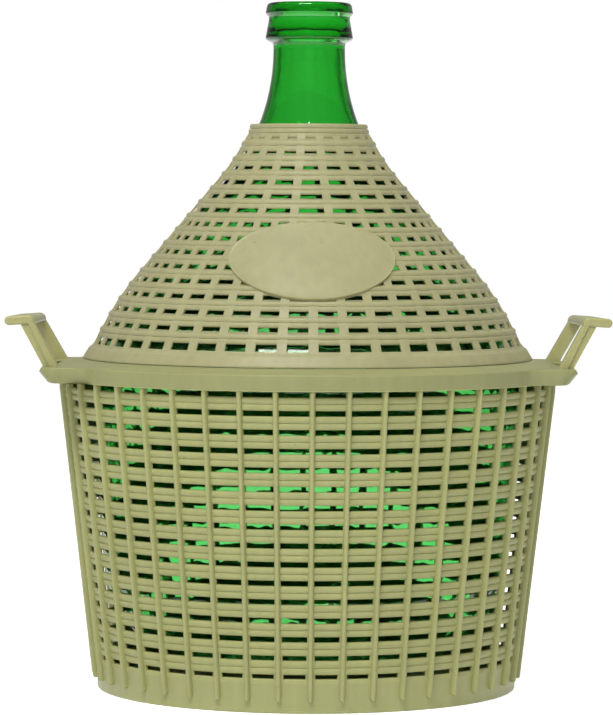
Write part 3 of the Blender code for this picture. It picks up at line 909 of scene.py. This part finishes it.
def oval_plate():
    """An oval patch of the cone: across it x = (a - inset) cos s and down it t = (b - inset) sin s.

    The place is at distance t down the cone and at the angle whose sine is x over the radius.
    """
    swing = np.arange(plate_sides) * 2 * math.pi / plate_sides
    face_share = np.linspace(1, 0, plate_rings)[1:]
    back_share = face_share[::-1]
    half_width = np.concatenate((plate_half_width * back_share, plate_half_width - plate_inset,
                                 (plate_half_width - plate_inset[-1]) * face_share))[:, None]
    half_height = np.concatenate((plate_half_height * back_share, plate_half_height - plate_inset,
                                  (plate_half_height - plate_inset[-1]) * face_share))[:, None]
    lift = np.concatenate((np.full(len(back_share), -cover_wall), plate_lift,
                           np.full(len(face_share), plate_lift[-1])))[:, None]
    across = half_width * np.cos(swing)
    down = plate_centre + half_height * np.sin(swing)
    place = along(cone_line, down, lift + 0 * down)
    radius = along(cone_line, down)[..., 0]
    angle = -math.pi / 2 + basket_turn + cover_turn + np.arcsin(across / radius)
    return np.stack((place[..., 0] * np.cos(angle), place[..., 0] * np.sin(angle), place[..., 1]),
                    axis=-1)


plate = solid("oval_plate", (oval_plate(), False))
cover = moulded(cover_foot, ("UNION", wide_bars), ("UNION", narrow_bars), ("UNION", cover_bands),
                ("UNION", plate))
cover.name = "slotted_cover"
cover_polyethylene = moulded_polyethylene("moulded_polyethylene_pink_beige", "#B0AD82",
                                          streak=0.06, roughness=0.48)
finished(cover, cover_polyethylene, "cover_body")
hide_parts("cover")


# Floor, backdrop and lamps
# A pale matt sheet that reads as white to the camera, in gloss and through glass, and still
# carries the demijohn's shadow. Three soft boxes light it: above, in front and behind.

floor_half = 6.0
paper_glow = 0.72
floor_mesh = bpy.data.meshes.new("studio_floor")
floor_mesh.from_pydata([(-floor_half, -floor_half, 0), (floor_half, -floor_half, 0),
                        (floor_half, floor_half, 0), (-floor_half, floor_half, 0)],
                       [], [(0, 1, 2, 3)])
floor = bpy.data.objects.new("studio_floor", floor_mesh)
bpy.context.scene.collection.objects.link(floor)

# Matt white paper: no gloss, and a glow that only the camera, gloss and glass see

studio_paper = bpy.data.materials.new("matt_white_studio_paper")
studio_paper.use_nodes = True
paper = studio_paper.node_tree.nodes["Principled BSDF"]
paper.inputs["Base Color"].default_value = linear("#E6E6E6")
paper.inputs["Roughness"].default_value = 1.0
paper.inputs["Specular IOR Level"].default_value = 0.0
paper.inputs["Emission Color"].default_value = linear("#FFFFFF")
paper_rays = node(studio_paper, "ShaderNodeLightPath").outputs
direct = node(studio_paper, "ShaderNodeMath",
              {0: paper_rays["Is Camera Ray"], 1: paper_rays["Is Transmission Ray"]},
              operation="MAXIMUM")
seen = node(studio_paper, "ShaderNodeMath",
            {0: direct.outputs["Value"], 1: paper_rays["Is Glossy Ray"]}, operation="MAXIMUM")
glow = node(studio_paper, "ShaderNodeMath",
            {0: seen.outputs["Value"], 1: paper_glow}, operation="MULTIPLY")
studio_paper.node_tree.links.new(glow.outputs["Value"], paper.inputs["Emission Strength"])
floor_mesh.materials.append(studio_paper)

# World: white for the camera, a dim even light on matt surfaces, a dark room that is paler
# behind the object in gloss, and bright and dark fields in turn all round through glass

world_diffuse = 0.40
gloss_front = 0.13
gloss_back = 0.42
field_count = 8.0
field_dark = 0.22
world = bpy.data.worlds.new("white_studio")
bpy.context.scene.world = world
world.use_nodes = True
background = world.node_tree.nodes["Background"]
background.inputs["Color"].default_value = linear("#FFFFFF")
world_rays = node(world, "ShaderNodeLightPath").outputs
way = node(world, "ShaderNodeSeparateXYZ",
           {"Vector": node(world, "ShaderNodeTexCoord").outputs["Generated"]}).outputs
bearing = node(world, "ShaderNodeMath", {0: way["X"], 1: way["Y"]}, operation="ARCTAN2")
turns = node(world, "ShaderNodeMath",
             {0: bearing.outputs["Value"], 1: field_count}, operation="MULTIPLY")
wave = node(world, "ShaderNodeMath", {0: turns.outputs["Value"]}, operation="COSINE")
fields = node(world, "ShaderNodeMapRange",
              {"Value": wave.outputs["Value"], "From Min": -0.6, "From Max": 0.2,
               "To Min": field_dark, "To Max": 1.0})
light = node(world, "ShaderNodeMath",
             {0: world_rays["Is Transmission Ray"], 1: fields.outputs["Result"]},
             operation="MULTIPLY")
backdrop = node(world, "ShaderNodeMapRange",
                {"Value": way["Y"], "From Min": 0.5, "From Max": 1.0,
                 "To Min": gloss_front, "To Max": gloss_back})
for kind, strength in (("Is Camera Ray", 1.0), ("Is Diffuse Ray", world_diffuse),
                       ("Is Glossy Ray", backdrop.outputs["Result"])):
    share = node(world, "ShaderNodeMath", {0: world_rays[kind], 1: strength}, operation="MULTIPLY")
    light = node(world, "ShaderNodeMath",
                 {0: light.outputs["Value"], 1: share.outputs["Value"]}, operation="MAXIMUM")
world.node_tree.links.new(light.outputs["Value"], background.inputs["Strength"])


def lamp(name, place, aim, width, height, watts, glossy):
    """A soft box at a place, turned to its aim; one that isn't glossy leaves no highlight."""
    data = bpy.data.lights.new(name, "AREA")
    data.shape = "RECTANGLE"
    data.size = width
    data.size_y = height
    data.energy = watts
    made = bpy.data.objects.new(name, data)
    bpy.context.scene.collection.objects.link(made)
    made.location = place
    made.rotation_euler = (Vector(aim) - Vector(place)).to_track_quat("-Z", "Y").to_euler()
    made.visible_glossy = glossy


lamp("key_soft_box", place=(-0.5, -1.65, 2.45), aim=(0, 0, 0.2), width=1.3, height=0.8,
     watts=46, glossy=True)
lamp("window_light", place=(-0.5, -2.6, 0.9), aim=(0, 0, 0.25), width=2.2, height=1.2,
     watts=9.5, glossy=False)
lamp("back_fill", place=(1.5, 2.0, 1.9), aim=(0, 0, 0.2), width=1.6, height=1.0,
     watts=17, glossy=False)


# Camera
# At the photograph's place: low and far in front of the plate, and moved round by half a degree.
# It looks slightly down, and is rolled by a hair.

camera_distance = 2.4557
camera_height = 0.3280
camera_round = math.radians(-0.55)
camera_yaw = 0.00032
camera_down = math.radians(2.588)
camera_roll = 0.00495
camera_data = bpy.data.cameras.new("camera")
camera_data.lens = 187.70
camera_data.clip_start = 0.01
camera = bpy.data.objects.new("camera", camera_data)
bpy.context.scene.collection.objects.link(camera)
camera.matrix_world = (Matrix.Rotation(camera_round, 4, "Z")
                       @ Matrix.Translation((0, -camera_distance, camera_height))
                       @ Matrix.Rotation(camera_yaw, 4, "Z")
                       @ Matrix.Rotation(math.pi / 2 - camera_down, 4, "X")
                       @ Matrix.Rotation(camera_roll, 4, "Z"))
bpy.context.scene.camera = camera
bpy.context.scene.view_settings.view_transform = "Standard"
